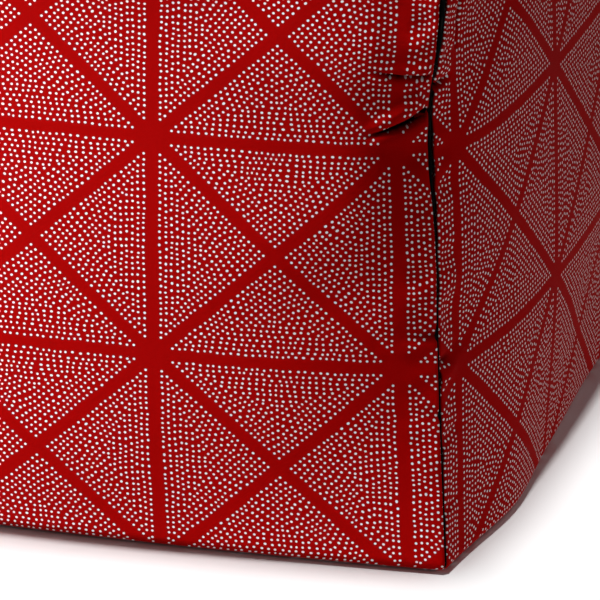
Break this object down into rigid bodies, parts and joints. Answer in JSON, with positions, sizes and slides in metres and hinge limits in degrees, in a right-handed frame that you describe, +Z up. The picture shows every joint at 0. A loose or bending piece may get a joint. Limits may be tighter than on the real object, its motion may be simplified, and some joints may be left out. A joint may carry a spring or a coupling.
{
  "type": "cube pouf",
  "caption": "Soft cube pouf: a dotted, printed cloth cover sewn from square panels, closed by a zip low on the back, over a stuffed liner.",
  "frame": {"origin": "middle of the base, on the floor", "axes": "+Z up, -Y is the front, +Y is the back with the zip, +X is the right side seen from the front"},
  "size_m": [0.466, 0.4667, 0.452],
  "materials": {
    "printed_cloth": "woven cotton with a fine printed dot pattern",
    "seam_thread": "overlocked edges in dark thread",
    "zip_tape": "narrow herringbone tape",
    "zip_teeth": "moulded",
    "zip_metal": "plated die casting",
    "liner_cloth": "plain nonwoven",
    "filling": "loose fill"
  },
  "bodies": {
    "pouf": {"front_panel": "printed_cloth", "right_panel": "printed_cloth", "left_panel": "printed_cloth", "back_panel": "printed_cloth", "back_zip_strip": "printed_cloth", "top_panel": "printed_cloth", "bottom_panel": "printed_cloth", "zip_end_tab_left": "printed_cloth", "zip_end_tab_right": "printed_cloth", "seam_front_right": "seam_thread", "seam_front_left": "seam_thread", "seam_back_right": "seam_thread", "seam_back_left": "seam_thread", "seam_top_front": "seam_thread", "seam_top_right": "seam_thread", "seam_top_back": "seam_thread", "seam_top_left": "seam_thread", "seam_bottom_front": "seam_thread", "seam_bottom_right": "seam_thread", "seam_bottom_back": "seam_thread", "seam_bottom_left": "seam_thread", "zip_tape_upper": "zip_tape", "zip_tape_lower": "zip_tape", "zip_teeth_upper": "zip_teeth", "zip_teeth_lower": "zip_teeth", "zip_top_stops": "zip_teeth", "zip_bottom_stop": "zip_teeth", "liner_sides": "liner_cloth", "liner_top": "liner_cloth", "liner_bottom": "liner_cloth", "filling": "filling"},
    "slider": {"zip_slider": "zip_metal"},
    "pull": {"zip_pull": "zip_metal"}
  },
  "joints": [
    {"name": "slider_slide", "type": "slide", "parent": "pouf", "child": "slider", "axis": [1, 0, 0], "range_m": [0, 0.3585], "deforming": ["zip_teeth_upper", "zip_teeth_lower"]},
    {"name": "pull_swing", "type": "hinge", "parent": "slider", "child": "pull", "pos_m": [-0.1822, 0.21895, 0.045], "axis": [0, 0, 1], "range_deg": [0, 170]}
  ]
}
